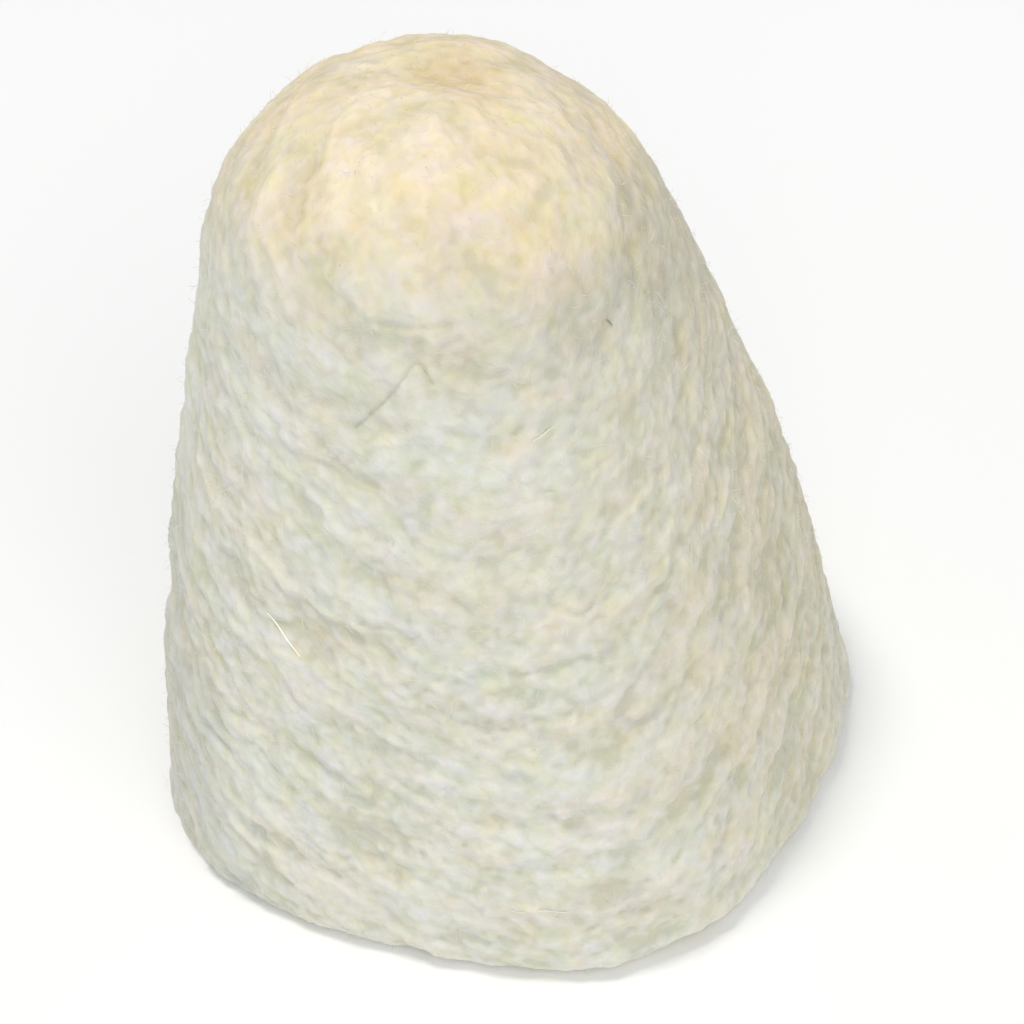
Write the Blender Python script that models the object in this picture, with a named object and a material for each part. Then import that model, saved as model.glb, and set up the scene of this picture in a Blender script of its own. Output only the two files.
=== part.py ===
"""Felt polishing bob: a domed taper of pressed wool felt, driven by a threaded bush bonded in its base.

It stands on its base at z = 0, with the bush and its M8 thread on the Z axis. Metres, +Z up.
Run it with: blender --background --python part.py
"""

import math

import bpy

MM = 0.001

# The felt: a 1 1/4 in base and a 1 1/2 in height, trimmed by hand and so a little out of round.
BASE_RADIUS = 15.875 * MM
HEIGHT = 38.1 * MM
SHOULDER_RADIUS = 0.616 * BASE_RADIUS  # where the tapered side meets the dome
DOME_HEIGHT = 0.45 * BASE_RADIUS
DOME_POWER = 2.65  # 2 is an ellipse, and more is blunter
SIDE_SWELL = 0.051 * BASE_RADIUS  # how far the side stands out from a straight taper
BASE_EDGE = 0.09 * BASE_RADIUS  # rounding of the base's rim
LEAN = -0.010 * BASE_RADIUS  # the crown's offset along X, growing with height ...
CURL = -0.072 * BASE_RADIUS  # ... and growing with its square
# Each lobe of the base's outline: how many round it, its share of the radius, and its direction.
LOBES = (
    (2, 0.06, math.radians(10.0)),
    (3, 0.04, math.radians(168.0)),
    (4, 0.03, math.radians(107.0)),
)
CENTRE_MARK = (1.1 * MM, 0.9 * MM)  # the lathe centre's mark in the tip: its X and Y
CENTRE_MARK_RADIUS = 1.5 * MM
CENTRE_MARK_DEPTH = 0.45 * MM

# The bush: turned brass, blind, with an M8 x 1.25 thread.
THREAD_PITCH = 1.25 * MM
THREAD_MAJOR_RADIUS = 4.0 * MM
THREAD_MINOR_RADIUS = 3.32 * MM
THREAD_LENGTH = 11.25 * MM
THREAD_FLAT = 0.25  # how much of the thread's sharp crest and root is cut flat, over its depth
FLANGE_RADIUS = 9.0 * MM
FLANGE_THICKNESS = 1.6 * MM
FLANGE_INSET = 0.5 * MM  # the bob stands on its felt, so the flange sits this far inside
BARREL_RADIUS = 5.5 * MM
BUSH_LENGTH = 15.5 * MM
BUSH_END_WALL = 1.8 * MM
FLUTE_COUNT = 12
FLUTE_DEPTH = 0.45 * MM
FLUTE_RUNOUT = 0.3 * MM
PLAIN_BAND = 1.2 * MM  # the unfluted barrel at the flange and at the closed end
GLUE_GROOVE_DEPTH = 0.6 * MM
GLUE_GROOVE_WIDTH = 2.0 * MM
BARREL_CHAMFER = 0.5 * MM
FLANGE_CHAMFER = 0.3 * MM
BORE_POINT_HEIGHT = 0.9 * MM  # the drill's cone at the end of the bore

# The washer that spreads the flange's load on the felt, and the cured epoxy round the barrel.
WASHER_THICKNESS = 0.8 * MM
GAP = 0.2 * MM
EPOXY_THICKNESS = 0.8 * MM
RECESS_RADIUS = FLANGE_RADIUS + 0.6 * MM
SOCKET_RADIUS = BARREL_RADIUS + GAP + EPOXY_THICKNESS + GAP
DRILL_POINT_HEIGHT = 2.0 * MM

FLANGE_FACE = FLANGE_INSET
FLANGE_BACK = FLANGE_FACE + FLANGE_THICKNESS
WASHER_FACE = FLANGE_BACK + GAP
WASHER_BACK = WASHER_FACE + WASHER_THICKNESS
RECESS_FLOOR = WASHER_BACK + GAP
BUSH_TOP = FLANGE_FACE + BUSH_LENGTH
SOCKET_TOP = BUSH_TOP + GAP + EPOXY_THICKNESS + GAP

FELT_SEGMENTS = 64
EDGE_STEPS = 4
SIDE_STEPS = 14
DOME_STEPS = 18
SEGMENTS_PER_FLUTE = 3
TURNED_SEGMENTS = SEGMENTS_PER_FLUTE * FLUTE_COUNT
THREAD_STEPS_PER_TURN = 5
SHARP_ANGLE = math.radians(35)


def clear_scene():
    for thing in list(bpy.data.objects):
        bpy.data.objects.remove(thing)


def material(name, colour, roughness, metallic=0.0):
    made = bpy.data.materials.new(name)
    made.use_nodes = True
    shader = made.node_tree.nodes["Principled BSDF"]
    shader.inputs["Base Color"].default_value = (*colour, 1.0)
    shader.inputs["Roughness"].default_value = roughness
    shader.inputs["Metallic"].default_value = metallic
    return made


def loop(radius_at, height, segments):
    """A closed loop of points round the Z axis. radius_at gives the radius at an angle."""
    points = []
    for i in range(segments):
        angle = 2 * math.pi * i / segments
        radius = radius_at(angle)
        points.append((radius * math.cos(angle), radius * math.sin(angle), height))
    return points


def round_loop(radius, height, segments=TURNED_SEGMENTS):
    return loop(lambda angle: radius, height, segments)


def skin(name, loops, surface):
    """One closed body through the loops, in order. A loop of one point is a pole that closes it."""
    points = [point for one in loops for point in one]
    starts = [sum(len(one) for one in loops[:i]) for i in range(len(loops))]
    faces = []
    for i, (near, far) in enumerate(zip(loops, loops[1:])):
        a, b = starts[i], starts[i + 1]
        for j in range(max(len(near), len(far))):
            k = (j + 1) % max(len(near), len(far))
            if len(near) == 1:
                faces.append((a, b + k, b + j))
            elif len(far) == 1:
                faces.append((a + j, a + k, b))
            else:
                faces.append((a + j, a + k, b + k, b + j))
    if len(loops[0]) > 1:
        faces += ring_faces(starts[-1], starts[0], len(loops[0]))
    mesh = bpy.data.meshes.new(name)
    mesh.from_pydata(points, [], faces)
    mesh.shade_smooth()
    mesh.set_sharp_from_angle(angle=SHARP_ANGLE)
    mesh.materials.append(surface)
    made = bpy.data.objects.new(name, mesh)
    bpy.context.scene.collection.objects.link(made)
    return made


def ring_faces(a, b, count):
    """The faces that join the last loop back to the first, on a ring with no poles."""
    return [(a + j, a + (j + 1) % count, b + (j + 1) % count, b + j) for j in range(count)]


def felt_profile():
    """(radius, height) of the felt's outer surface, from the rim of the base up to near the tip."""
    side_top = HEIGHT - DOME_HEIGHT
    side_height = side_top - BASE_EDGE
    taper = (SHOULDER_RADIUS - BASE_RADIUS - math.pi * SIDE_SWELL) / side_height
    points = []
    for i in range(EDGE_STEPS + 1):
        turn = math.pi / 2 * i / EDGE_STEPS
        inset = BASE_EDGE * (1 - math.sin(turn))
        points.append((BASE_RADIUS - inset, BASE_EDGE * (1 - math.cos(turn))))
    for i in range(1, SIDE_STEPS + 1):
        share = i / SIDE_STEPS
        straight = BASE_RADIUS + (SHOULDER_RADIUS - BASE_RADIUS) * share
        radius = straight + SIDE_SWELL * math.sin(math.pi * share)
        points.append((radius, BASE_EDGE + side_height * share))
    bend = 2 / DOME_POWER
    for i in range(1, DOME_STEPS):
        turn = math.pi / 2 * i / DOME_STEPS
        rise = DOME_HEIGHT * math.sin(turn) ** bend
        radius = (SHOULDER_RADIUS + taper * rise) * math.cos(turn) ** bend
        points.append((radius, side_top + rise))
    return points


def out_of_round(radius, height):
    """The felt's loop at a height: lobed at the base, round at the tip, and leaning a little."""
    share = height / HEIGHT

    def radius_at(angle):
        lobes = sum(size * math.cos(n * (angle - first)) for n, size, first in LOBES)
        return radius * (1 + (1 - share) * lobes)

    lean = LEAN * share + CURL * share**2
    return [(x + lean, y, z) for x, y, z in loop(radius_at, height, FELT_SEGMENTS)]


def centred(loops):
    """The same loops with the middle of their outline on the Z axis, where the bush is."""
    middle = [
        (min(p[axis] for one in loops for p in one) + max(p[axis] for one in loops for p in one)) / 2
        for axis in (0, 1)
    ]
    return [[(x - middle[0], y - middle[1], z) for x, y, z in one] for one in loops]


def with_centre_mark(loops):
    """Presses the lathe centre's shallow round mark into the tip."""
    marked = []
    for one in loops:
        points = []
        for x, y, z in one:
            off_centre = math.dist((x, y), CENTRE_MARK) / CENTRE_MARK_RADIUS
            near_tip = z > HEIGHT - DOME_HEIGHT
            points.append((x, y, z - near_tip * CENTRE_MARK_DEPTH * math.exp(-(off_centre**2))))
        marked.append(points)
    return marked


def felt_body(surface):
    tip = [(LEAN + CURL, 0.0, HEIGHT)]
    outer = [out_of_round(radius, height) for radius, height in felt_profile()]
    outer = with_centre_mark(centred(outer + [tip]))
    socket = (
        (RECESS_RADIUS, 0.0),
        (RECESS_RADIUS, RECESS_FLOOR),
        (SOCKET_RADIUS, RECESS_FLOOR),
        (SOCKET_RADIUS, SOCKET_TOP),
    )
    inner = [round_loop(radius, height, FELT_SEGMENTS) for radius, height in socket]
    inner.append([(0.0, 0.0, SOCKET_TOP + DRILL_POINT_HEIGHT)])
    return skin("felt_body", inner[::-1] + outer, surface)


def thread_loops():
    """The M8 thread from its inner end down to the mouth, cut as a helix into the bore."""
    depth = THREAD_MAJOR_RADIUS - THREAD_MINOR_RADIUS
    steps = round(THREAD_LENGTH / THREAD_PITCH * THREAD_STEPS_PER_TURN)
    bottom = FLANGE_FACE + depth
    loops = []
    for i in range(steps, -1, -1):
        height = bottom + THREAD_LENGTH * i / steps
        fade = min(1.0, i / THREAD_STEPS_PER_TURN, (steps - i) / THREAD_STEPS_PER_TURN)

        def radius_at(angle, height=height, fade=fade):
            phase = (height / THREAD_PITCH - angle / (2 * math.pi)) % 1.0
            wave = abs(2 * phase - 1) * (1 + 2 * THREAD_FLAT) - THREAD_FLAT
            return THREAD_MINOR_RADIUS + depth * fade * min(1.0, max(0.0, wave))

        loops.append(loop(radius_at, height, TURNED_SEGMENTS))
    return loops


def fluted_loop(radius, height):
    """A loop of the barrel with its axial flutes, which the epoxy keys into."""

    def radius_at(angle):
        in_flute = round(angle / (2 * math.pi) * TURNED_SEGMENTS) % SEGMENTS_PER_FLUTE == 0
        return radius - FLUTE_DEPTH * in_flute

    return loop(radius_at, height, TURNED_SEGMENTS)


def barrel_loops():
    """The barrel from the flange up to the closed end: two fluted bands with a glue groove between."""
    low = FLANGE_BACK + PLAIN_BAND
    high = BUSH_TOP - PLAIN_BAND
    groove_low = (low + high - GLUE_GROOVE_WIDTH) / 2
    groove_high = groove_low + GLUE_GROOVE_WIDTH
    groove_radius = BARREL_RADIUS - GLUE_GROOVE_DEPTH
    return [
        round_loop(BARREL_RADIUS, FLANGE_BACK),
        round_loop(BARREL_RADIUS, low - FLUTE_RUNOUT),
        fluted_loop(BARREL_RADIUS, low),
        fluted_loop(BARREL_RADIUS, groove_low - FLUTE_RUNOUT),
        round_loop(groove_radius, groove_low),
        round_loop(groove_radius, groove_high),
        fluted_loop(BARREL_RADIUS, groove_high + FLUTE_RUNOUT),
        fluted_loop(BARREL_RADIUS, high),
        round_loop(BARREL_RADIUS, high + FLUTE_RUNOUT),
        round_loop(BARREL_RADIUS, BUSH_TOP - BARREL_CHAMFER),
        round_loop(BARREL_RADIUS - BARREL_CHAMFER, BUSH_TOP),
    ]


def threaded_bush(surface):
    end_of_bore = BUSH_TOP - BUSH_END_WALL
    bore = [
        [(0.0, 0.0, end_of_bore)],
        round_loop(THREAD_MINOR_RADIUS, end_of_bore - BORE_POINT_HEIGHT),
    ]
    flange = [
        round_loop(THREAD_MAJOR_RADIUS, FLANGE_FACE),
        round_loop(FLANGE_RADIUS - FLANGE_CHAMFER, FLANGE_FACE),
        round_loop(FLANGE_RADIUS, FLANGE_FACE + FLANGE_CHAMFER),
        round_loop(FLANGE_RADIUS, FLANGE_BACK - FLANGE_CHAMFER),
        round_loop(FLANGE_RADIUS - FLANGE_CHAMFER, FLANGE_BACK),
    ]
    end = [[(0.0, 0.0, BUSH_TOP)]]
    return skin("threaded_bush", bore + thread_loops() + flange + barrel_loops() + end, surface)


def fibre_washer(surface):
    outer = FLANGE_RADIUS
    inner = BARREL_RADIUS + GAP
    loops = [
        round_loop(inner, WASHER_BACK),
        round_loop(inner, WASHER_FACE),
        round_loop(outer, WASHER_FACE),
        round_loop(outer, WASHER_BACK),
    ]
    return skin("fibre_washer", loops, surface)


def epoxy_sleeve(surface):
    """The cured epoxy: a cup that holds the barrel and its closed end in the felt's socket."""
    inner = BARREL_RADIUS + GAP
    outer = SOCKET_RADIUS - GAP
    loops = [
        [(0.0, 0.0, BUSH_TOP + GAP)],
        round_loop(inner, BUSH_TOP + GAP),
        round_loop(inner, RECESS_FLOOR + GAP),
        round_loop(outer, RECESS_FLOOR + GAP),
        round_loop(outer, SOCKET_TOP - GAP),
        [(0.0, 0.0, SOCKET_TOP - GAP)],
    ]
    return skin("epoxy_sleeve", loops, surface)


def main():
    clear_scene()
    felt_body(material("wool_felt", (0.74, 0.72, 0.63), 0.95))
    threaded_bush(material("turned_brass", (0.72, 0.53, 0.22), 0.32, 1.0))
    fibre_washer(material("vulcanised_fibre", (0.26, 0.08, 0.05), 0.7))
    epoxy_sleeve(material("cured_epoxy", (0.55, 0.42, 0.20), 0.3))


main()
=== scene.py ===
"""The looks of the felt polishing bob: matted wool with its loose fibres, turned brass, fibre and epoxy.

The felt's shape repeats the CAD part's formula on a far finer grid. It is then lumped, layered, creased
and given loose fibres, as pressed wool has. Metres, +Z up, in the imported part's frame.
"""

import math

import bpy
import numpy as np
from mathutils import Euler, Matrix, Vector


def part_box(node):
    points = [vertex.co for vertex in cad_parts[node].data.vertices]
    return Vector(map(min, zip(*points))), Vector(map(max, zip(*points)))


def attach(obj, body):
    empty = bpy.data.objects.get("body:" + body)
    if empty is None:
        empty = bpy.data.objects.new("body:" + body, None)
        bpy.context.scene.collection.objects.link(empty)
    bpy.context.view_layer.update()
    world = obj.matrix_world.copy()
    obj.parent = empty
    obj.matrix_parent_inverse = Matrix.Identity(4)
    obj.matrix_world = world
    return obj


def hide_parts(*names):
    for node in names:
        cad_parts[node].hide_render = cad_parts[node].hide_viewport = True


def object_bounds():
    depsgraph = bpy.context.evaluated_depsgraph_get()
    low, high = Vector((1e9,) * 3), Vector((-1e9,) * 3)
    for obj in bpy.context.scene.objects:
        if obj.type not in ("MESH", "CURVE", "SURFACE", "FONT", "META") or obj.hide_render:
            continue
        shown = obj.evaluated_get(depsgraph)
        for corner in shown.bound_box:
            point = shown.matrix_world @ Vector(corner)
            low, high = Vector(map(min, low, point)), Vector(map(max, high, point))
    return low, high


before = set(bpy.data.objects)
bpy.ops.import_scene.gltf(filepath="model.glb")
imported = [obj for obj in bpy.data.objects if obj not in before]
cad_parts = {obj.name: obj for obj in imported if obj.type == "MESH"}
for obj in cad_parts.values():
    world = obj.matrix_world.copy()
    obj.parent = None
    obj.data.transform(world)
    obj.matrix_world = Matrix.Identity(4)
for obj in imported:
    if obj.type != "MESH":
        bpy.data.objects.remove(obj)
cad_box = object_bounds()

MM = 0.001
TURN = 2 * math.pi

# The felt's outer form, as in the CAD part.
BASE_RADIUS = 15.875 * MM
HEIGHT = 38.1 * MM
SHOULDER_RADIUS = 0.616 * BASE_RADIUS
DOME_HEIGHT = 0.45 * BASE_RADIUS
DOME_POWER = 2.65
SIDE_SWELL = 0.051 * BASE_RADIUS
BASE_EDGE = 0.09 * BASE_RADIUS
LEAN = -0.010 * BASE_RADIUS
CURL = -0.072 * BASE_RADIUS
LOBES = (
    (2, 0.06, math.radians(10.0)),
    (3, 0.04, math.radians(168.0)),
    (4, 0.03, math.radians(107.0)),
)
CENTRE_MARK = (1.1 * MM, 0.9 * MM)
CENTRE_MARK_RADIUS = 1.5 * MM
CENTRE_MARK_DEPTH = 0.45 * MM

# The socket in its base, as in the CAD part.
RECESS_RADIUS = 9.6 * MM
RECESS_FLOOR = 3.3 * MM
SOCKET_RADIUS = 6.7 * MM
SOCKET_TOP = 17.2 * MM
DRILL_POINT_HEIGHT = 2.0 * MM

# The felt's fine grid.
SEGMENTS = 960
OUTER_ROWS = 420
SOCKET_STEP = 0.35 * MM
BASE_LOOPS = 22
RELIEF_FADE_ROWS = 20
MARK_STEPS = 60
# Dents take painted shade and ridges a painted highlight, this much per millimetre of depth.
MARK_SHADING = 4.0

# The loose fibres: how many of each sort, the points along one, and the seeds of their draws.
LYING_FIBRES = 2000
LYING_STEPS = 9
LYING_SEED = 61
STANDING_FIBRES = 5000
STANDING_STEPS = 5
STANDING_SEED = 62
SINGLE_HAIR_STEPS = 24
STRAIGHTENING_PASSES = 24
FLOOR_CLEARANCE = 0.03 * MM

# The wool lies in flat layers that dip towards the front: how much a layer drops per metre of X and Y.
LAY_SLOPE_X = 0.06
LAY_SLOPE_Y = -0.61

# Lumps drawn out along the layers: seed, size across and along them, height, and share of the painted relief
# shading.
WRINKLES = (26, 1.7 * MM, 5.0 * MM, 0.13 * MM, 0.8)
BANDS = (25, 1.5 * MM, 2.8 * MM, 0.15 * MM, 0.8)
STREAKS = (31, 0.75 * MM, 1.15 * MM, 0.10 * MM, 0.6)
FINE_STREAKS = (32, 0.36 * MM, 0.50 * MM, 0.02 * MM, 0.35)
# Lumps the same size every way: seed, size and height.
SWELLS = (21, 7.0 * MM, 0.22 * MM)
DIMPLES = (22, 3.2 * MM, 0.17 * MM)
CLUMPS = (44, 0.55 * MM, 0.06 * MM)
TUFTS = (45, 0.42 * MM, 0.01 * MM)
# The shares of the painted relief shading for clumps and tufts.
CLUMP_SHADING = 0.7
TUFT_SHADING = 0.1
# Layers that end in a step, like shingles: their spacing, the step's height, and the width and darkness of
# the painted shadow under its edge.
SHINGLE_SPACING = 2.1 * MM
SHINGLE_HEIGHT = 0.12 * MM
UNDER_EDGE_WIDTH = 0.09
UNDER_EDGE_SHADOW = 0.2

# Dents and ridges of the outside: the line's anchors, as degrees round and share of the height,
# then its half width and its depth, which is above zero for a ridge.
MARKS = (
    (((-117, 0.738), (-109, 0.775), (-101, 0.812), (-98, 0.791)), 0.11 * MM, -0.13 * MM),
    (((-112, 0.855), (-101, 0.850), (-89, 0.850)), 0.16 * MM, -0.07 * MM),
    (((-158, 0.955), (-156, 0.930), (-152, 0.900)), 0.50 * MM, 0.14 * MM),
    (((-138, 0.975), (-130, 0.960), (-126, 0.935)), 0.45 * MM, 0.14 * MM),
    (((-148, 0.968), (-143, 0.950), (-140, 0.925)), 0.40 * MM, -0.10 * MM),
    (((-148, 0.556), (-145, 0.520), (-143, 0.500)), 0.13 * MM, 0.06 * MM),
)
# Single hairs that stand out: anchors, radius and the name of the hair's material.
SINGLE_HAIRS = (
    (((-139, 0.484), (-135, 0.463), (-131, 0.441)), 0.040 * MM, "wool_hair_white"),
    (((-77, 0.716), (-74, 0.719), (-71, 0.726)), 0.030 * MM, "wool_hair_pale"),
    (((-94, 0.128), (-91, 0.118), (-88, 0.130), (-85, 0.116), (-83, 0.121)), 0.026 * MM, "wool_hair_pale"),
    (((-117, 0.738), (-109, 0.776), (-101, 0.812), (-99, 0.806), (-98, 0.791)), 0.010 * MM, "wool_hair_grey"),
    (((-50, 0.801), (-49.5, 0.798), (-49, 0.794)), 0.045 * MM, "wool_hair_dark"),
)

# The felt's colours.
SIDE_LEFT = (0.678, 0.667, 0.588)
# The right side's colour is warmer, and a little darker as painted shade.
SIDE_RIGHT = (0.660, 0.608, 0.476)
# The dome's colour holds painted warm light from above.
DOME_WARM_LIT = (0.815, 0.702, 0.518)
FOOT_WHITE = (0.700, 0.690, 0.612)
CENTRE_MARK_TAN = (0.74, 0.57, 0.33)
# The hairs' materials. The first three are the loose fibres', in the order that hair_slots uses.
HAIR_COLOURS = (
    # The dome's hairs take its painted warm light.
    ("wool_hair_warm_lit", (0.82, 0.73, 0.56)),
    ("wool_hair_pale", (0.75, 0.75, 0.68)),
    ("wool_hair_straw", (0.71, 0.69, 0.58)),
    ("wool_hair_white", (0.95, 0.95, 0.92)),
    ("wool_hair_grey", (0.45, 0.43, 0.36)),
    ("wool_hair_dark", (0.36, 0.31, 0.22)),
)

# The studio: lights by name, place, power, size and colour, and the light from all round.
LIGHTS = (
    ("key", (-0.20, -0.02, 0.97), 3.8, 0.26, (1.0, 0.95, 0.88)),
    ("front", (0.17, -0.77, 0.60), 4.7, 1.1, (1.0, 0.97, 0.93)),
    ("rim", (-0.45, 0.85, 0.20), 0.7, 0.3, (1.0, 0.80, 0.42)),
)
WORLD_COLOUR = (0.85, 0.94, 1.0, 1.0)
WORLD_STRENGTH = 0.455
FLOOR_HALF = 3.0
FLOOR_TONES = ((0.975, 0.97, 0.975), (0.985, 0.98, 0.985))

# The camera: where it looks, in base radii from the middle of the base's formula, and from where.
LOOK_AT = (0.056, 0.0, 0.942)
CAMERA_DISTANCE = 7.096 * BASE_RADIUS
CAMERA_ELEVATION = 0.694
CAMERA_ROLL = -0.121
SENSOR_WIDTH = 36.0
LENS = 85.3


# ---------------------------------------------------------------- noise


class Perlin:
    """Gradient noise at an array of points, about -1 to 1, and the same every run."""

    def __init__(self, seed):
        random = np.random.default_rng(seed)
        self.order = np.tile(random.permutation(256), 2)
        directions = random.normal(size=(256, 3))
        self.slopes = directions / np.linalg.norm(directions, axis=1, keepdims=True)

    def __call__(self, points):
        cell = np.floor(points).astype(int)
        inside = points - cell
        cell &= 255
        blend = inside**3 * (inside * (inside * 6 - 15) + 10)
        total = np.zeros(len(points))
        for corner in np.ndindex(2, 2, 2):
            x, y, z = ((cell + corner) & 255).T
            slope = self.slopes[self.order[self.order[self.order[x] + y] + z]]
            weight = np.prod(np.where(corner, blend, 1 - blend), axis=1)
            total += weight * np.einsum("ij,ij->i", slope, inside - corner)
        return total * 1.5


def smooth_step(low, high, value):
    share = np.clip((value - low) / (high - low), 0, 1)
    return share * share * (3 - 2 * share)


# ---------------------------------------------------------------- the felt's form


def outer_profile():
    """Radius and height up the outside, in even steps from the rim of the base to near the tip."""
    side_top = HEIGHT - DOME_HEIGHT
    side_height = side_top - BASE_EDGE
    taper = (SHOULDER_RADIUS - BASE_RADIUS - math.pi * SIDE_SWELL) / side_height
    turn = np.linspace(0, math.pi / 2, 60)
    share = np.linspace(0, 1, 400)[1:]
    bend = 2 / DOME_POWER
    dome_turn = np.linspace(0, math.pi / 2, 2000)[1:-1]
    rise = DOME_HEIGHT * np.sin(dome_turn) ** bend
    radius = np.concatenate(
        [
            BASE_RADIUS - BASE_EDGE * (1 - np.sin(turn)),
            BASE_RADIUS + (SHOULDER_RADIUS - BASE_RADIUS) * share + SIDE_SWELL * np.sin(math.pi * share),
            (SHOULDER_RADIUS + taper * rise) * np.cos(dome_turn) ** bend,
            [0.0],
        ]
    )
    height = np.concatenate(
        [
            BASE_EDGE * (1 - np.cos(turn)),
            BASE_EDGE + side_height * share,
            side_top + rise,
            [HEIGHT],
        ]
    )
    length = np.concatenate([[0], np.cumsum(np.hypot(np.diff(radius), np.diff(height)))])
    even = np.linspace(0, length[-1], OUTER_ROWS + 1)[:-1]
    return np.interp(even, length, radius), np.interp(even, length, height)


def grid_angles():
    return np.arange(SEGMENTS) / SEGMENTS * TURN


def out_of_round(radius, height):
    """Grids of x, y and z for loops that are lobed at the base, round at the tip, and lean a little."""
    angle = grid_angles()[None, :]
    share = (height / HEIGHT)[:, None]
    lobes = sum(size * np.cos(n * (angle - first)) for n, size, first in LOBES)
    loop_radius = radius[:, None] * (1 + (1 - share) * lobes)
    x = loop_radius * np.cos(angle) + LEAN * share + CURL * share**2
    y = loop_radius * np.sin(angle)
    return np.stack([x, y, np.broadcast_to(height[:, None], x.shape)], axis=-1)


def socket_profile():
    """Radius and height from the drill point down the socket and out to the recess's mouth."""
    corners = (
        (0.3 * MM, SOCKET_TOP + 0.95 * DRILL_POINT_HEIGHT),
        (SOCKET_RADIUS, SOCKET_TOP),
        (SOCKET_RADIUS, RECESS_FLOOR),
        (RECESS_RADIUS, RECESS_FLOOR),
        (RECESS_RADIUS, 0.35 * MM),
    )
    radius, height = [corners[0][0]], [corners[0][1]]
    for (r0, h0), (r1, h1) in zip(corners, corners[1:]):
        steps = max(2, round(math.hypot(r1 - r0, h1 - h0) / SOCKET_STEP))
        shares = np.arange(1, steps + 1) / steps
        radius += list(r0 + (r1 - r0) * shares)
        height += list(h0 + (h1 - h0) * shares)
    return np.array(radius), np.array(height)


def base_rows(inner, outer, count=BASE_LOOPS):
    """Loops across the flat base, from the recess's softened mouth out to the rim."""
    shares = (np.arange(1, count) / count)[:, None, None]
    rows = inner[None] + (outer[None] - inner[None]) * shares
    rows[..., 2] = 0.0
    return rows


def grid_normals(grid):
    """Unit normals of a grid of loops, pointing out of the felt."""
    along = np.gradient(grid, axis=0)
    around = np.roll(grid, -1, axis=1) - np.roll(grid, 1, axis=1)
    normal = np.cross(around, along)
    return normal / np.maximum(np.linalg.norm(normal, axis=-1, keepdims=True), 1e-12)


def centre_mark_share(points):
    """1 at the middle of the lathe centre's mark in the tip, and 0 away from it."""
    off_centre = np.hypot(points[..., 0] - CENTRE_MARK[0], points[..., 1] - CENTRE_MARK[1])
    on_dome = points[..., 2] > HEIGHT - DOME_HEIGHT
    return on_dome * np.exp(-((off_centre / CENTRE_MARK_RADIUS) ** 2))


# ---------------------------------------------------------------- the felt's surface


def lay_height(points):
    """How far up the stack of wool layers a point is. The layers dip towards the front."""
    x, y, z = points.T
    return z + LAY_SLOPE_Y * y + LAY_SLOPE_X * x


def felt_relief(points):
    """How far each point stands proud, in metres, and its painted relief shading: -1 in a hollow to 1 on a
    tuft.
    """
    x, y, z = points.T
    warp = np.stack([Perlin(seed)(points / (3.0 * MM)) for seed in (11, 12, 13)], axis=1)
    lay = lay_height(points) + 0.7 * MM * warp[:, 0] + 0.25 * MM * Perlin(14)(points / (1.1 * MM))

    def layered(seed, across, along):
        """Noise drawn out along the layers."""
        sideways = points[:, :2] / along + 0.3 * warp[:, 1:]
        return Perlin(seed)(np.column_stack([sideways, lay / across]))

    coarse = 0.95 + 0.3 * smooth_step(0.95, 0.35, z / HEIGHT)
    relief = sum(rise * Perlin(seed)(points / size) for seed, size, rise in (SWELLS, DIMPLES))
    phase = lay / SHINGLE_SPACING + 0.35 * Perlin(23)(points / (5.0 * MM))
    step = phase - np.floor(phase)
    edge_here = smooth_step(-0.20, 0.40, layered(24, 2.4 * MM, 8.0 * MM))
    edge_here = edge_here * smooth_step(0.93, 0.70, z / HEIGHT)
    shingle = step * smooth_step(1.0, 0.88, step) * edge_here
    # A painted shadow darkens a band under each step's edge.
    painted_under_edge_shadow = np.exp(-(((step + 0.5) % 1.0 - 0.5) / UNDER_EDGE_WIDTH) ** 2) * edge_here
    lumps = SHINGLE_HEIGHT * shingle
    relief_shading = -UNDER_EDGE_SHADOW * painted_under_edge_shadow
    low_down = smooth_step(0.70, 0.20, z / HEIGHT)
    for lump, where in ((WRINKLES, low_down), (BANDS, 1.0), (STREAKS, 1.0), (FINE_STREAKS, 1.0)):
        seed, across, along, rise, share = lump
        noise = layered(seed, across, along) * where
        lumps = lumps + rise * noise
        relief_shading = relief_shading + share * noise
    curl = np.stack([Perlin(seed)(points / (0.7 * MM)) for seed in (41, 42, 43)], axis=1)
    curled = points + 0.2 * MM * curl
    clumps = Perlin(CLUMPS[0])(curled / CLUMPS[1])
    tufts = 1 - 2 * np.abs(Perlin(TUFTS[0])(curled / TUFTS[1]))
    lumps = lumps + CLUMPS[2] * clumps + TUFTS[2] * tufts
    relief_shading = relief_shading + CLUMP_SHADING * clumps + TUFT_SHADING * tufts
    return relief + coarse * lumps, coarse * relief_shading


def build_felt_grid():
    """The smooth outside, moved so that its box has the CAD part's middle, and how far it moved."""
    radius, height = outer_profile()
    outer = out_of_round(radius, height)
    low, high = outer.reshape(-1, 3).min(axis=0), outer.reshape(-1, 3).max(axis=0)
    cad_low, cad_high = (np.array(corner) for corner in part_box("felt_body"))
    shift = (cad_low + cad_high) / 2 - (low + high) / 2
    shift[2] = 0.0
    outer += shift
    outer[..., 2] -= CENTRE_MARK_DEPTH * centre_mark_share(outer)
    return outer, shift


def socket_grid():
    """The round socket and recess, from the drill point down."""
    radius, height = socket_profile()
    angle = grid_angles()[None, :]
    x = radius[:, None] * np.cos(angle)
    y = radius[:, None] * np.sin(angle)
    return np.stack([x, y, np.broadcast_to(height[:, None], x.shape)], axis=-1)


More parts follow.
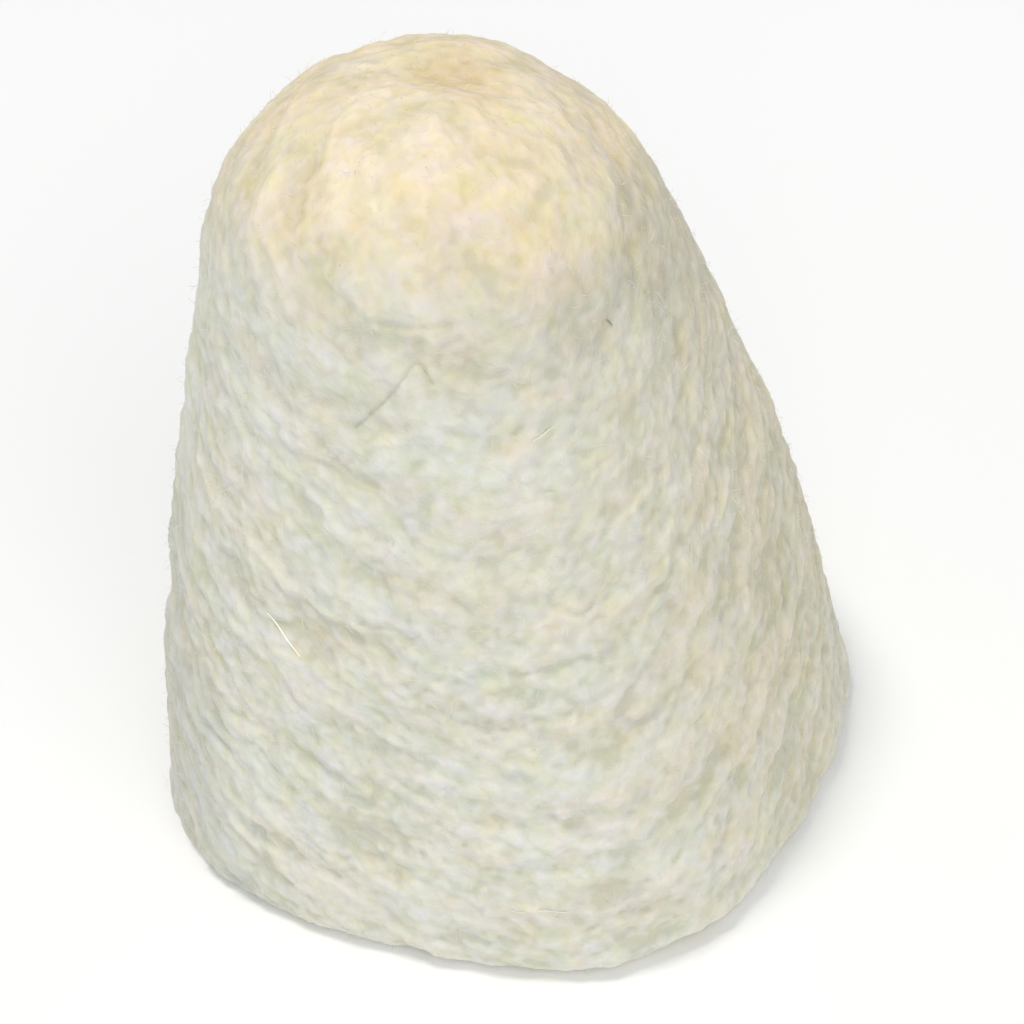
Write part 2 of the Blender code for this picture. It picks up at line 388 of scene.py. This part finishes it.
def felt_surface(outer):
    """The outside with its relief, fading out where the rim meets the flat base."""
    normals = grid_normals(outer)
    points = outer.reshape(-1, 3)
    relief, relief_shading = (part.reshape(outer.shape[:2]) for part in felt_relief(points))
    for mark, size, depth in MARKS:
        path = surface_path(outer, mark, MARK_STEPS).reshape(-1, 3)
        near = nearest_distance(points, path).reshape(outer.shape[:2])
        shape = np.exp(-((near / size) ** 2))
        relief = relief + depth * shape
        # Dents take painted shade and ridges a painted highlight.
        relief_shading = relief_shading + MARK_SHADING * depth / MM * shape
    rows = np.arange(OUTER_ROWS)[:, None]
    relief = relief * smooth_step(0, RELIEF_FADE_ROWS, rows)
    grid = outer + normals * relief[..., None]
    grid[..., 2] = np.maximum(grid[..., 2], 0.02 * MM * smooth_step(0, 4, rows))
    return grid, normals, relief_shading


def grid_spot(grid, degrees, share):
    """The row and column of a grid that lie at an angle round the axis and a share of the height."""
    angle = np.arctan2(grid[..., 1], grid[..., 0]) - math.radians(degrees)
    sideways = np.abs((angle + math.pi) % TURN - math.pi) * BASE_RADIUS
    upward = np.abs(grid[..., 2] - share * HEIGHT)
    return np.unravel_index(np.argmin(sideways + upward), sideways.shape)


def surface_path(grid, anchors, count, normals=None, rise=0.0):
    """Points of a smooth path on the grid through anchors of (degrees round, share of the height)."""
    spots = np.array([grid_spot(grid, *anchor) for anchor in anchors], float)
    at = np.linspace(0, len(spots) - 1, count)
    row, column = (smooth_through(spots[:, i], at) for i in (0, 1))
    path = grid_point(grid, row, column)
    if normals is not None:
        path = path + grid_point(normals, row, column) * rise
    return path


def smooth_through(values, at):
    """A Catmull-Rom curve through the values, read at fractional places."""
    padded = np.concatenate([[2 * values[0] - values[1]], values, [2 * values[-1] - values[-2]]])
    i = np.minimum(np.floor(at).astype(int), len(values) - 2)
    t = at - i
    a, b, c, d = (padded[i + k] for k in range(4))
    return b + 0.5 * t * (c - a + t * (2 * a - 5 * b + 4 * c - d + t * (3 * (b - c) + d - a)))


def nearest_distance(points, path):
    """Each point's distance to the nearest point of a path."""
    nearest = np.full(len(points), np.inf)
    for spot in path:
        nearest = np.minimum(nearest, np.linalg.norm(points - spot, axis=1))
    return nearest


def grid_faces(rows):
    """Quads between successive loops, wound so that they face out of the felt."""
    first = np.arange(rows - 1)[:, None] * SEGMENTS
    j = np.arange(SEGMENTS)[None, :]
    k = (j + 1) % SEGMENTS
    corners = (first + j, first + k, first + k + SEGMENTS, first + j + SEGMENTS)
    return np.stack(corners, axis=-1).reshape(-1, 4)


def mesh_object(name, points, quads, triangles, materials, smooth=True):
    """An object from numpy points, quads and triangles."""
    mesh = bpy.data.meshes.new(name)
    mesh.vertices.add(len(points))
    mesh.vertices.foreach_set("co", np.asarray(points, np.float32).ravel())
    corners = np.concatenate([quads.ravel(), triangles.ravel()]).astype(np.int32)
    sizes = np.concatenate([np.full(len(quads), 4), np.full(len(triangles), 3)]).astype(np.int32)
    mesh.loops.add(len(corners))
    mesh.loops.foreach_set("vertex_index", corners)
    mesh.polygons.add(len(sizes))
    mesh.polygons.foreach_set("loop_start", np.concatenate([[0], np.cumsum(sizes)[:-1]]).astype(np.int32))
    mesh.update(calc_edges=True)
    mesh.validate()
    if smooth:
        mesh.shade_smooth()
    else:
        mesh.shade_flat()
    for one in materials:
        mesh.materials.append(one)
    made = bpy.data.objects.new(name, mesh)
    bpy.context.scene.collection.objects.link(made)
    return made


def felt_piece(outer_grid, relief_shading, surface):
    """The felt as one closed body: socket, base, outside and tip."""
    socket = socket_grid()
    rough = 0.04 * MM * Perlin(51)(socket.reshape(-1, 3) / (0.6 * MM)).reshape(socket.shape[:2])
    socket = socket + grid_normals(socket) * rough[..., None]
    mouth = socket[-1] * [1.02, 1.02, 0.0]
    base = np.concatenate([mouth[None], base_rows(mouth, outer_grid[0])])
    flat = base.reshape(-1, 3)
    nap = np.abs(0.06 * MM * Perlin(52)(flat / (0.6 * MM)) + 0.05 * MM * Perlin(53)(flat / (1.6 * MM)))
    base[..., 2] = nap.reshape(base.shape[:2])
    base[0, :, 2] += 0.08 * MM
    loops = np.concatenate([socket, base, outer_grid])
    points = np.concatenate(
        [
            loops.reshape(-1, 3),
            [[0.0, 0.0, SOCKET_TOP + DRILL_POINT_HEIGHT]],
            [outer_grid[-1].mean(axis=0)],
        ]
    )
    drill_point, tip = len(points) - 2, len(points) - 1
    j = np.arange(SEGMENTS)
    k = (j + 1) % SEGMENTS
    last = (len(loops) - 1) * SEGMENTS
    caps = np.concatenate(
        [
            np.stack([np.full(SEGMENTS, drill_point), k, j], axis=1),
            np.stack([last + j, last + k, np.full(SEGMENTS, tip)], axis=1),
        ]
    )
    made = mesh_object("wool_felt_body", points, grid_faces(len(loops)), caps, [surface])
    values = np.zeros(len(points), np.float32)
    start = len(socket) * SEGMENTS
    # The flat base gets a random tone in the same attribute.
    values[start : start + len(flat)] = Perlin(54)(flat / (0.5 * MM)) + 0.8 * Perlin(55)(flat / (1.3 * MM))
    start += len(flat)
    values[start : start + relief_shading.size] = relief_shading.ravel()
    attribute = made.data.attributes.new("relief_shading", "FLOAT", "POINT")
    attribute.data.foreach_set("value", values)
    return made


# ---------------------------------------------------------------- loose fibres


def grid_point(grid, row, column):
    """Points of a grid at fractional rows and columns, wrapping round the columns."""
    row = np.clip(row, 0, len(grid) - 1.001)
    i, j = np.floor(row).astype(int), np.floor(column).astype(int)
    u, v = (row - i)[..., None], (column - np.floor(column))[..., None]
    j0, j1 = j % SEGMENTS, (j + 1) % SEGMENTS
    low = grid[i, j0] * (1 - v) + grid[i, j1] * v
    high = grid[i + 1, j0] * (1 - v) + grid[i + 1, j1] * v
    return low * (1 - u) + high * u


def tubes(paths, radii, slots, name, materials):
    """Thin three-sided hairs along paths of equal point counts, closed to a point at both ends."""
    count, steps = paths.shape[:2]
    along = np.gradient(paths, axis=1)
    along /= np.maximum(np.linalg.norm(along, axis=-1, keepdims=True), 1e-12)
    side = np.cross(along, [0.31, 0.22, 0.93])
    side /= np.maximum(np.linalg.norm(side, axis=-1, keepdims=True), 1e-12)
    up = np.cross(side, along)
    share = np.arange(steps) / (steps - 1)
    thickness = radii[:, None] * (0.35 + 0.65 * np.sin(math.pi * share) ** 0.5)[None, :]
    rings = []
    for corner in range(3):
        a = TURN * corner / 3
        rings.append(paths + thickness[..., None] * (side * math.cos(a) + up * math.sin(a)))
    rings = np.stack(rings, axis=2)[:, 1:-1]
    inner = steps - 2
    points = np.concatenate([rings.reshape(-1, 3), paths[:, 0], paths[:, -1]])
    strand = np.arange(count)
    base = strand[:, None, None] * inner * 3 + np.arange(inner - 1)[None, :, None] * 3
    c = np.arange(3)[None, None, :]
    d = (c + 1) % 3
    quads = np.stack([base + c, base + d, base + d + 3, base + c + 3], axis=-1).reshape(-1, 4)
    start = strand[:, None] * inner * 3
    end = start + (inner - 1) * 3
    c, d = np.arange(3)[None, :], (np.arange(3)[None, :] + 1) % 3
    heads = count * inner * 3 + strand[:, None] + 0 * c
    tails = heads + count
    triangles = np.concatenate(
        [
            np.stack([heads, start + d, start + c], axis=-1).reshape(-1, 3),
            np.stack([end + c, end + d, tails], axis=-1).reshape(-1, 3),
        ]
    )
    made = mesh_object(name, points, quads, triangles, materials, smooth=False)
    face_slots = np.concatenate(
        [np.repeat(slots, (inner - 1) * 3), np.repeat(slots, 3), np.repeat(slots, 3)]
    )
    made.data.polygons.foreach_set("material_index", face_slots.astype(np.int32))
    return made


def loop_sizes(grid):
    """The mean radius of each loop, which turns a step along the surface into columns."""
    centre = grid.mean(axis=1, keepdims=True)
    return np.linalg.norm(grid - centre, axis=-1).mean(axis=1)


def lying_fibres(grid, normals, materials):
    """Curved hairs that lie matted on the outside, most of them along the layers."""
    random = np.random.default_rng(LYING_SEED)
    count, steps = LYING_FIBRES, LYING_STEPS
    sizes = loop_sizes(grid)
    row_step = np.linalg.norm(np.diff(grid[:, 0], axis=0), axis=1).mean()
    chance = sizes[6:-24] * (1.15 - grid[6:-24, 0, 2] / HEIGHT)
    chance /= chance.sum()
    row = 6 + random.choice(len(chance), size=count, p=chance) + random.random(count)
    column = random.random(count) * SEGMENTS
    heading = random.normal(0.0, 0.55, count) + math.pi * random.integers(0, 2, count)
    bend = random.normal(0.0, 0.22, count)
    length = random.uniform(0.7, 2.6, count) * MM
    lift = random.uniform(0.0, 0.012, count) * MM
    paths = np.empty((count, steps, 3))
    for i in range(steps):
        share = i / (steps - 1)
        spot = grid_point(grid, row, column)
        out = grid_point(normals, row, column)
        rise = lift * math.sin(math.pi * share) - 0.004 * MM
        paths[:, i] = spot + out * rise[:, None]
        size = sizes[np.clip(row, 0, len(sizes) - 1).astype(int)]
        column = column + np.cos(heading) * length / steps / (TURN * size / SEGMENTS)
        row = np.clip(row + np.sin(heading) * length / steps / row_step, 1, len(grid) - 18)
        heading = heading + bend + random.normal(0.0, 0.12, count)
    paths[..., 2] = np.maximum(paths[..., 2], FLOOR_CLEARANCE)
    radii = random.uniform(0.007, 0.014, count) * MM
    return tubes(paths, radii, hair_slots(paths, random), "lying_wool_fibres", materials)


def hair_slots(paths, random):
    """Which material each hair has: warm on the dome, with its painted warm light, and whiter or greyer down
    the side.
    """
    count = len(paths)
    share = paths[:, 0, 2] / HEIGHT + random.normal(0.0, 0.04, count)
    on_side = random.choice((1, 2), size=count, p=(0.55, 0.45))
    return np.where(share > 0.88, 0, on_side)


def standing_fibres(grid, normals, materials):
    """Short hairs that stand off the outside as fuzz."""
    random = np.random.default_rng(STANDING_SEED)
    count, steps = STANDING_FIBRES, STANDING_STEPS
    sizes = loop_sizes(grid)
    chance = sizes[2:-4] / sizes[2:-4].sum()
    row = 2 + random.choice(len(chance), size=count, p=chance) + random.random(count)
    column = random.random(count) * SEGMENTS
    spot = grid_point(grid, row, column)
    out = grid_point(normals, row, column)
    sideways = np.cross(out, random.normal(size=(count, 3)))
    sideways /= np.linalg.norm(sideways, axis=1, keepdims=True)
    curl = np.cross(out, random.normal(size=(count, 3)))
    length = (0.15 + 0.45 * random.random(count) ** 2) * MM
    paths = np.empty((count, steps, 3))
    for i in range(steps):
        share = i / (steps - 1)
        reach = out * (share * 0.8 - 0.05) + sideways * share * 0.7 + curl * 0.5 * share**2
        paths[:, i] = spot + reach * length[:, None]
    paths[..., 2] = np.maximum(paths[..., 2], FLOOR_CLEARANCE)
    radii = random.uniform(0.006, 0.011, count) * MM
    return tubes(paths, radii, hair_slots(paths, random), "standing_wool_fibres", materials)


def straightened(path):
    """A path freed of the small bumps under it, with its ends where they were."""
    path = path.copy()
    for _ in range(STRAIGHTENING_PASSES):
        path[1:-1] = (path[:-2] + 2 * path[1:-1] + path[2:]) / 4
    return path


def single_hairs(grid, normals, materials):
    """The few hairs that stand out one by one."""
    names = [name for name, _ in HAIR_COLOURS]
    paths = [
        straightened(surface_path(grid, anchors, SINGLE_HAIR_STEPS, normals, 2.0 * radius))
        for anchors, radius, _ in SINGLE_HAIRS
    ]
    radii = np.array([radius for _, radius, _ in SINGLE_HAIRS])
    slots = np.array([names.index(name) for _, _, name in SINGLE_HAIRS])
    return tubes(np.array(paths), radii, slots, "single_wool_hairs", materials)


# ---------------------------------------------------------------- materials


class Nodes:
    """A short way to write a material's node tree."""

    def __init__(self, name):
        self.material = bpy.data.materials.new(name)
        self.material.use_nodes = True
        self.tree = self.material.node_tree
        self.shader = self.tree.nodes["Principled BSDF"]
        self.place = self.add("ShaderNodeTexCoord").outputs["Object"]

    def add(self, kind, **settings):
        node = self.tree.nodes.new(kind)
        for key, value in settings.items():
            setattr(node, key, value)
        return node

    def link(self, source, target):
        self.tree.links.new(source, target)

    def put(self, socket, value):
        """Sets an input, from another node's output or to a plain value."""
        if isinstance(value, bpy.types.NodeSocket):
            self.link(value, socket)
        else:
            socket.default_value = value

    def set(self, **values):
        """Plain values on the shader's own sockets."""
        for name, value in values.items():
            self.shader.inputs[name.replace("_", " ")].default_value = value

    def noise(self, size, detail=2.0, roughness=0.5, stretch=None):
        """Noise of about 0 to 1 whose features are about size metres across."""
        node = self.add("ShaderNodeTexNoise")
        place = self.place
        if stretch:
            mapping = self.add("ShaderNodeMapping")
            mapping.inputs["Scale"].default_value = stretch
            self.link(place, mapping.inputs["Vector"])
            place = mapping.outputs["Vector"]
        self.link(place, node.inputs["Vector"])
        node.inputs["Scale"].default_value = 1 / size
        node.inputs["Detail"].default_value = detail
        node.inputs["Roughness"].default_value = roughness
        return node.outputs["Fac"]

    def streaky(self, across, along, seed, detail=2.0, roughness=0.5):
        """Noise drawn out along the wool's layers: its value, and three more as a colour."""
        axes = self.add("ShaderNodeSeparateXYZ")
        self.link(self.place, axes.inputs[0])
        x, y, z = axes.outputs
        slope = self.math("ADD", self.math("MULTIPLY", x, LAY_SLOPE_X), self.math("MULTIPLY", y, LAY_SLOPE_Y))
        lay = self.math("ADD", self.math("DIVIDE", self.math("ADD", z, slope), across), seed)
        place = self.add("ShaderNodeCombineXYZ")
        scaled = (self.math("DIVIDE", x, along), self.math("DIVIDE", y, along), lay)
        for socket, value in zip(place.inputs, scaled):
            self.link(value, socket)
        node = self.add("ShaderNodeTexNoise")
        self.link(place.outputs[0], node.inputs["Vector"])
        node.inputs["Scale"].default_value = 1.0
        node.inputs["Detail"].default_value = detail
        node.inputs["Roughness"].default_value = roughness
        node.inputs["Distortion"].default_value = 0.4
        return node.outputs["Fac"], node.outputs["Color"]

    def tinted(self, colour, noise, spread):
        """A colour whose red, green and blue each vary by a share, with their own noise of 0 to 1."""
        tint = self.add("ShaderNodeVectorMath", operation="MULTIPLY_ADD")
        self.link(noise, tint.inputs[0])
        tint.inputs[1].default_value = spread
        tint.inputs[2].default_value = tuple(1 - share / 2 for share in spread)
        scaled = self.add("ShaderNodeVectorMath", operation="MULTIPLY")
        self.link(colour, scaled.inputs[0])
        self.link(tint.outputs[0], scaled.inputs[1])
        return scaled.outputs[0]

    def math(self, operation, a, b=0.0, c=0.0):
        node = self.add("ShaderNodeMath", operation=operation)
        for socket, value in zip(node.inputs, (a, b, c)):
            self.put(socket, value)
        return node.outputs[0]

    def ramp(self, value, low, high, to_low=0.0, to_high=1.0):
        """Maps low..high smoothly to to_low..to_high."""
        node = self.add("ShaderNodeMapRange", interpolation_type="SMOOTHSTEP")
        self.put(node.inputs["Value"], value)
        self.put(node.inputs["From Min"], low)
        self.put(node.inputs["From Max"], high)
        self.put(node.inputs["To Min"], to_low)
        self.put(node.inputs["To Max"], to_high)
        return node.outputs["Result"]

    def mix(self, share, a, b, blend="MIX"):
        node = self.add("ShaderNodeMix", data_type="RGBA", blend_type=blend)
        self.put(node.inputs["Factor"], share)
        self.put(node.inputs["A"], (*a, 1.0) if isinstance(a, tuple) else a)
        self.put(node.inputs["B"], (*b, 1.0) if isinstance(b, tuple) else b)
        return node.outputs["Result"]

    def toned(self, share, colour, factor):
        """A colour multiplied by a factor, by a share of 0 to 1."""
        return self.mix(share, colour, self.mix(1.0, colour, factor, "MULTIPLY"))

    def bump(self, height, strength, distance):
        node = self.add("ShaderNodeBump")
        node.inputs["Strength"].default_value = strength
        node.inputs["Distance"].default_value = distance
        self.put(node.inputs["Height"], height)
        self.link(node.outputs["Normal"], self.shader.inputs["Normal"])


def felt_material():
    """White wool felt: painted warm light on the tip, cooler down the side, mottled, and darker in its
    hollows as painted shade.
    """
    n = Nodes("wool_felt")
    axes = n.add("ShaderNodeSeparateXYZ")
    n.link(n.place, axes.inputs[0])
    x, y, z = axes.outputs
    wander = n.math("MULTIPLY", n.math("SUBTRACT", n.noise(4 * MM, 2.0), 0.5), 8 * MM)
    height = n.math("ADD", z, wander)
    tilted = n.math("ADD", height, n.math("MULTIPLY", x, 0.22))
    # Painted warm light from above turns the dome and the top of the side warm cream.
    painted_warm_top_light = n.ramp(tilted, 0.76 * HEIGHT, 0.98 * HEIGHT)
    # Towards the right the side turns warmer, and a little darker as painted shade.
    right = n.ramp(n.math("ADD", x, wander), -0.1 * BASE_RADIUS, 1.0 * BASE_RADIUS)
    side = n.mix(right, SIDE_LEFT, SIDE_RIGHT)
    colour = n.mix(painted_warm_top_light, side, DOME_WARM_LIT)
    foot = n.ramp(height, 0.36 * HEIGHT, 0.04 * HEIGHT, 0.0, 0.45)
    colour = n.mix(foot, colour, FOOT_WHITE)
    # Painted shade: the left edge is a little greyer, where the light falls off.
    painted_left_edge_shade = n.ramp(n.math("ADD", x, wander), -0.75 * BASE_RADIUS, -1.0 * BASE_RADIUS)
    colour = n.toned(painted_left_edge_shade, colour, (0.86, 0.865, 0.88))
    # Painted shade: the shoulder is a little darker, and most so on the right.
    above_side = n.ramp(tilted, 0.71 * HEIGHT, 0.87 * HEIGHT)
    below_tip = n.ramp(tilted, 0.99 * HEIGHT, 0.89 * HEIGHT)
    shoulder = n.math("MULTIPLY", above_side, below_tip)
    painted_shoulder_shade = n.math("MULTIPLY", shoulder, n.ramp(x, -0.3 * BASE_RADIUS, 0.6 * BASE_RADIUS, 0.3, 1.0))
    colour = n.toned(painted_shoulder_shade, colour, (0.82, 0.83, 0.83))
    # Patches a millimetre or so across lean to pink, green or straw.
    pink = n.ramp(n.noise(1.1 * MM, 2.0), 0.52, 0.72, 0.0, 0.5)
    colour = n.toned(pink, colour, (1.02, 0.94, 0.93))
    green = n.ramp(n.noise(1.3 * MM, 2.0, stretch=(1, 1, 1.7)), 0.52, 0.72, 0.0, 0.6)
    colour = n.toned(green, colour, (0.95, 1.0, 0.93))
    straw = n.ramp(n.noise(2.2 * MM, 3.0), 0.50, 0.75, 0.0, 0.6)
    colour = n.toned(straw, colour, (1.02, 0.99, 0.90))
    # Wider drifts along the layers run from straw pink to a cool green.
    drift = n.ramp(n.streaky(2.3 * MM, 4.5 * MM, 41.7)[0], 0.35, 0.65)
    pinker = n.mix(1.0, colour, (1.012, 0.988, 0.962), "MULTIPLY")
    greener = n.mix(1.0, colour, (0.99, 1.006, 1.0), "MULTIPLY")
    colour = n.mix(drift, greener, pinker)
    # The tan mark that the lathe's centre left.
    off_x = n.math("SUBTRACT", x, CENTRE_MARK[0])
    off_y = n.math("SUBTRACT", y, CENTRE_MARK[1])
    off = n.math("SQRT", n.math("ADD", n.math("POWER", off_x, 2.0), n.math("POWER", off_y, 2.0)))
    off = n.math("ADD", off, n.math("MULTIPLY", n.math("SUBTRACT", n.noise(0.9 * MM, 3.0), 0.5), 2.4 * MM))
    on_dome = n.ramp(z, HEIGHT - DOME_HEIGHT, HEIGHT - 0.3 * DOME_HEIGHT)
    mark = n.math("MULTIPLY", n.ramp(off, 2.9 * MM, 0.7 * MM, 0.0, 0.75), on_dome)
    colour = n.mix(mark, colour, CENTRE_MARK_TAN)
    # Painted shade darkens the hollows between the tufts. Crowns are paler and whiter, partly whiter wool and
    # partly painted highlight.
    relief_shading = n.add("ShaderNodeAttribute", attribute_name="relief_shading").outputs["Fac"]
    painted_hollow_shade = n.ramp(relief_shading, 0.0, -0.75, 0.0, 0.9)
    colour = n.toned(painted_hollow_shade, colour, (0.87, 0.88, 0.83))
    crown_white_and_highlight = n.ramp(relief_shading, 0.0, 0.75, 0.0, 0.9)
    colour = n.toned(crown_white_and_highlight, colour, (1.08, 1.08, 1.12))
    # Fine mottling along the layers, most of it between cream and white.
    mottle, hues = n.streaky(0.95 * MM, 1.25 * MM, 3.7, 3.0, 0.65)
    colour = n.tinted(colour, hues, (0.08, 0.08, 0.48))
    colour = n.tinted(colour, mottle, (0.2, 0.2, 0.2))
    # The creamy tint is strongest on the dome, where the painted warm light is.
    creamy = n.tinted(colour, n.streaky(0.5 * MM, 0.8 * MM, 31.1, 2.0, 0.6)[1], (0.07, 0.07, 0.55))
    colour = n.mix(n.ramp(painted_warm_top_light, 0.0, 1.0, 0.3, 1.0), colour, creamy)
    n.link(colour, n.shader.inputs["Base Color"])
    n.link(n.ramp(n.noise(1.5 * MM), 0.3, 0.7, 0.82, 0.98), n.shader.inputs["Roughness"])
    n.set(Sheen_Weight=0.15, Sheen_Roughness=0.6, Specular_IOR_Level=0.15)
    fibrous = n.streaky(0.18 * MM, 0.28 * MM, 11.3, 2.0, 0.6)[0]
    matted = n.streaky(0.42 * MM, 0.60 * MM, 23.9, 2.0, 0.5)[0]
    n.bump(n.math("ADD", n.math("MULTIPLY", fibrous, 0.4), matted), 0.5, 0.12 * MM)
    return n.material


def fibre_materials():
    """Single wool hairs, each one colour all along."""
    made = []
    for name, colour in HAIR_COLOURS:
        material = bpy.data.materials.new(name)
        material.use_nodes = True
        shader = material.node_tree.nodes["Principled BSDF"]
        shader.inputs["Base Color"].default_value = (*colour, 1.0)
        shader.inputs["Roughness"].default_value = 0.6
        shader.inputs["Sheen Weight"].default_value = 0.2
        made.append(material)
    return made


def brass_material():
    """Turned brass: fine rings from the tool, duller and browner in patches."""
    n = Nodes("turned_brass")
    axes = n.add("ShaderNodeSeparateXYZ")
    n.link(n.place, axes.inputs[0])
    x, y, z = axes.outputs
    radius = n.math("SQRT", n.math("ADD", n.math("POWER", x, 2.0), n.math("POWER", y, 2.0)))
    rings = n.math("SINE", n.math("MULTIPLY", n.math("ADD", radius, z), TURN / (0.12 * MM)))
    tarnish = n.ramp(n.noise(3.0 * MM, 4.0, 0.6), 0.42, 0.70)
    colour = n.mix(tarnish, (0.80, 0.60, 0.27), (0.50, 0.34, 0.14))
    n.link(colour, n.shader.inputs["Base Color"])
    scuffed = n.ramp(n.noise(0.8 * MM, 3.0), 0.35, 0.65, 0.24, 0.42)
    n.link(n.math("ADD", scuffed, n.math("MULTIPLY", tarnish, 0.15)), n.shader.inputs["Roughness"])
    n.set(Metallic=1.0)
    n.bump(rings, 0.25, 0.01 * MM)
    return n.material


def vulcanised_fibre_material():
    """Dark red-brown fibre board, with a faint paper grain."""
    n = Nodes("vulcanised_fibre")
    grain = n.noise(0.5 * MM, 4.0, 0.6, stretch=(1.0, 3.0, 1.0))
    patch = n.noise(2.5 * MM, 3.0)
    colour = n.mix(n.ramp(patch, 0.35, 0.7), (0.20, 0.055, 0.035), (0.30, 0.10, 0.06))
    colour = n.mix(n.ramp(grain, 0.5, 0.75, 0.0, 0.5), colour, (0.36, 0.16, 0.10))
    n.link(colour, n.shader.inputs["Base Color"])
    n.link(n.ramp(grain, 0.3, 0.7, 0.5, 0.75), n.shader.inputs["Roughness"])
    n.bump(grain, 0.3, 0.03 * MM)
    return n.material


def epoxy_material():
    """Cured amber epoxy, cloudy in places."""
    n = Nodes("cured_epoxy")
    cloud = n.noise(1.8 * MM, 4.0, 0.6)
    colour = n.mix(n.ramp(cloud, 0.35, 0.7), (0.52, 0.36, 0.14), (0.66, 0.54, 0.32))
    n.link(colour, n.shader.inputs["Base Color"])
    n.link(n.ramp(cloud, 0.3, 0.7, 0.18, 0.35), n.shader.inputs["Roughness"])
    n.set(Coat_Weight=0.3)
    n.bump(cloud, 0.3, 0.05 * MM)
    return n.material


def dress(node, material):
    """Gives a CAD node a better material, on its object's own slots."""
    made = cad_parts[node]
    for one in made.material_slots:
        one.material = material


# ---------------------------------------------------------------- floor, lights and camera


def pale_floor():
    """A wide, plain, nearly white floor just under the felt."""
    n = Nodes("pale_floor")
    tone = n.ramp(n.noise(60 * MM, 1.0), 0.3, 0.7)
    n.link(n.mix(tone, *FLOOR_TONES), n.shader.inputs["Base Color"])
    n.set(Roughness=0.9, Specular_IOR_Level=0.0)
    points = np.array([(-1, -1, 0), (1, -1, 0), (1, 1, 0), (-1, 1, 0)], float) * FLOOR_HALF
    points[:, 2] = cad_box[0][2] - 0.01 * MM
    floor = mesh_object("floor", points, np.array([[0, 1, 2, 3]]), np.empty((0, 3), int), [n.material])


def area_light(name, place, power, size, colour):
    """A round lamp that faces the origin."""
    data = bpy.data.lights.new(name, "AREA")
    data.shape = "DISK"
    data.size = size
    data.energy = power
    data.color = colour
    light = bpy.data.objects.new(name, data)
    light.location = place
    light.rotation_mode = "QUATERNION"
    light.rotation_quaternion = (-Vector(place)).to_track_quat("-Z", "Y")
    bpy.context.scene.collection.objects.link(light)


def soft_light():
    """Three soft lamps and a pale light from all round."""
    world = bpy.data.worlds.new("studio")
    bpy.context.scene.world = world
    world.use_nodes = True
    background = world.node_tree.nodes["Background"]
    background.inputs["Color"].default_value = WORLD_COLOUR
    background.inputs["Strength"].default_value = WORLD_STRENGTH
    for light in LIGHTS:
        area_light(*light)
    bpy.context.scene.view_settings.view_transform = "Standard"


def add_camera(shift):
    """The camera, which looks down at the front with a slight roll."""
    el = CAMERA_ELEVATION
    target = Vector(LOOK_AT) * BASE_RADIUS + Vector(shift)
    data = bpy.data.cameras.new("camera")
    data.sensor_width = SENSOR_WIDTH
    data.lens = LENS
    data.clip_start = 1 * MM
    camera = bpy.data.objects.new("camera", data)
    camera.location = target - Vector((0.0, math.cos(el), -math.sin(el))) * CAMERA_DISTANCE
    facing = Euler((math.pi / 2 - el, 0.0, 0.0)).to_matrix()
    camera.rotation_euler = (facing @ Matrix.Rotation(CAMERA_ROLL, 3, "Z")).to_euler()
    bpy.context.scene.collection.objects.link(camera)
    bpy.context.scene.camera = camera


# ---------------------------------------------------------------- the scene


outer_form, outline_shift = build_felt_grid()
felt_grid, felt_normals, felt_relief_shading = felt_surface(outer_form)
felt = felt_piece(felt_grid, felt_relief_shading, felt_material())
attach(felt, "root")
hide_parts("felt_body")

hairs = fibre_materials()
for fuzz in (
    lying_fibres(felt_grid, felt_normals, hairs),
    standing_fibres(felt_grid, felt_normals, hairs),
    single_hairs(felt_grid, felt_normals, hairs),
):
    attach(fuzz, "root")

dress("threaded_bush", brass_material())
dress("fibre_washer", vulcanised_fibre_material())
dress("epoxy_sleeve", epoxy_material())

pale_floor()
soft_light()
add_camera(outline_shift)
